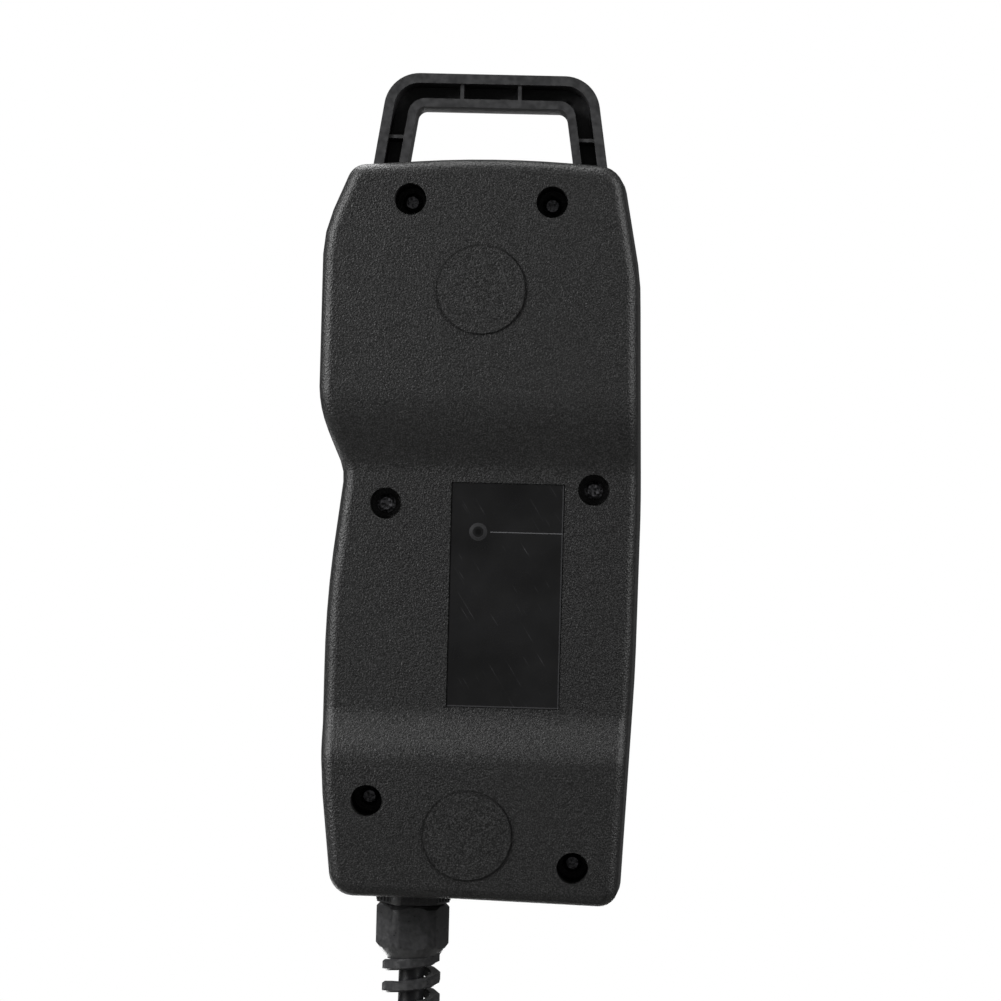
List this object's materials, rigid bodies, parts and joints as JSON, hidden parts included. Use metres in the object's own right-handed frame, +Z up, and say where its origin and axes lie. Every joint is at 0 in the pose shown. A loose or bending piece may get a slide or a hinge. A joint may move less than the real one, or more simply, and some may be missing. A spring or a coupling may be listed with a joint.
{
  "type": "manual pulse generator pendant",
  "caption": "Hand-held pulse generator with a handwheel, two selector knobs and a stop button in a notched case, with a hanging loop and a corded plug.",
  "frame": {"origin": "under the hanging loop's bar, at mid depth, where the unit hangs from a peg or hook", "axes": "+Z up, the panel with the handwheel faces -Y, the back with the label and the screws faces +Y, +X is the operator's right"},
  "size_m": [0.1094, 0.0756, 0.4515],
  "materials": {
    "rear_case": "fine moulded grain",
    "front_case": "fine moulded grain",
    "case_seal": "moulded",
    "case_screws": "blackened",
    "hanging_loop": "smooth",
    "upper_magnet": "plated",
    "lower_magnet": "plated",
    "rear_label": "satin film",
    "front_film": "satin film",
    "generator_housing": "turned",
    "generator_screws": "plated",
    "bearing_outer_ring": "ground",
    "bearing_inner_ring": "ground",
    "bearing_balls": "polished",
    "wheel_shaft": "ground",
    "code_hub": "turned",
    "code_disc": "coated",
    "detent_wheel": "stamped",
    "detent_spring": "stamped",
    "sensor_board": "solder mask",
    "forked_sensor": "moulded",
    "generator_cover": "moulded",
    "generator_terminals": "moulded",
    "handwheel": "black anodised",
    "dial_ring": "satin",
    "wheel_cap": "turned",
    "crank_axle": "ground",
    "crank_knob": "polished",
    "crank_cap": "polished",
    "axis_switch": "moulded",
    "axis_nut": "plated",
    "axis_rotor": "turned",
    "axis_knob": "satin",
    "multiplier_switch": "moulded",
    "multiplier_nut": "plated",
    "multiplier_rotor": "turned",
    "multiplier_knob": "satin",
    "switch_terminals": "plated",
    "stop_collar": "satin",
    "stop_gasket": "moulded",
    "stop_nut": "moulded",
    "stop_stem": "moulded",
    "stop_spring": "wire",
    "stop_contact_block": "moulded",
    "stop_head": "polished",
    "lamp_holder": "plated",
    "lamp": "clear",
    "junction_board": "solder mask",
    "junction_terminals": "moulded",
    "junction_screws": "plated",
    "wire_loom": "extruded",
    "gland_body": "smooth",
    "gland_fittings": "smooth",
    "dome_nut": "smooth",
    "cord_lead": "extruded",
    "cord_coil": "extruded",
    "cord_ties": "woven",
    "cord_end": "extruded",
    "plug_shell": "plated",
    "plug_ring": "knurled"
  },
  "bodies": {
    "case": {"rear_case": "rear_case", "front_case": "front_case", "case_seal": "case_seal", "case_screws": "case_screws", "hanging_loop": "hanging_loop", "upper_magnet": "upper_magnet", "lower_magnet": "lower_magnet", "rear_label": "rear_label", "front_film": "front_film", "generator_housing": "generator_housing", "generator_screws": "generator_screws", "bearing_outer_ring": "bearing_outer_ring", "bearing_balls": "bearing_balls", "detent_spring": "detent_spring", "sensor_board": "sensor_board", "forked_sensor": "forked_sensor", "generator_cover": "generator_cover", "generator_terminals": "generator_terminals", "axis_switch": "axis_switch", "axis_nut": "axis_nut", "multiplier_switch": "multiplier_switch", "multiplier_nut": "multiplier_nut", "switch_terminals": "switch_terminals", "stop_collar": "stop_collar", "stop_gasket": "stop_gasket", "stop_nut": "stop_nut", "stop_spring": "stop_spring", "stop_contact_block": "stop_contact_block", "lamp_holder": "lamp_holder", "lamp": "lamp", "junction_board": "junction_board", "junction_terminals": "junction_terminals", "junction_screws": "junction_screws", "wire_loom": "wire_loom", "gland_body": "gland_body", "gland_fittings": "gland_fittings", "dome_nut": "dome_nut", "cord_lead": "cord_lead", "cord_coil": "cord_coil", "cord_ties": "cord_ties", "cord_end": "cord_end", "plug_shell": "plug_shell"},
    "wheel": {"wheel_shaft": "wheel_shaft", "bearing_inner_ring": "bearing_inner_ring", "code_hub": "code_hub", "code_disc": "code_disc", "detent_wheel": "detent_wheel", "handwheel": "handwheel", "dial_ring": "dial_ring", "wheel_cap": "wheel_cap", "crank_axle": "crank_axle"},
    "crank_grip": {"crank_knob": "crank_knob", "crank_cap": "crank_cap"},
    "axis_selector": {"axis_rotor": "axis_rotor", "axis_knob": "axis_knob"},
    "multiplier_selector": {"multiplier_rotor": "multiplier_rotor", "multiplier_knob": "multiplier_knob"},
    "stop_plunger": {"stop_stem": "stop_stem"},
    "stop_mushroom": {"stop_head": "stop_head"},
    "plug_coupling": {"plug_ring": "plug_ring"}
  },
  "joints": [
    {"name": "handwheel_spin", "type": "hinge", "parent": "case", "child": "wheel", "pos_m": [0, -0.035, -0.1571], "axis": [0, 1, 0], "continuous": true},
    {"name": "crank_knob_spin", "type": "hinge", "parent": "wheel", "child": "crank_grip", "pos_m": [0, -0.05, -0.1371], "axis": [0, 1, 0], "continuous": true},
    {"name": "axis_select", "type": "hinge", "parent": "case", "child": "axis_selector", "pos_m": [-0.0195, -0.035, -0.0884], "axis": [0, 1, 0], "range_deg": [-60, 60]},
    {"name": "multiplier_select", "type": "hinge", "parent": "case", "child": "multiplier_selector", "pos_m": [0.0195, -0.035, -0.0884], "axis": [0, 1, 0], "range_deg": [-30, 30]},
    {"name": "stop_push", "type": "slide", "parent": "case", "child": "stop_plunger", "axis": [0, 1, 0], "range_m": [0, 0.004], "deforming": ["stop_spring"]},
    {"name": "stop_twist", "type": "hinge", "parent": "stop_plunger", "child": "stop_mushroom", "pos_m": [0, -0.04, -0.0481], "axis": [0, 1, 0], "range_deg": [0, 45], "stiffness_Nm_per_rad": 0.02},
    {"name": "plug_ring_spin", "type": "hinge", "parent": "case", "child": "plug_coupling", "pos_m": [-0.0555, -0.044, -0.435], "axis": [0, 0, 1], "continuous": true}
  ]
}
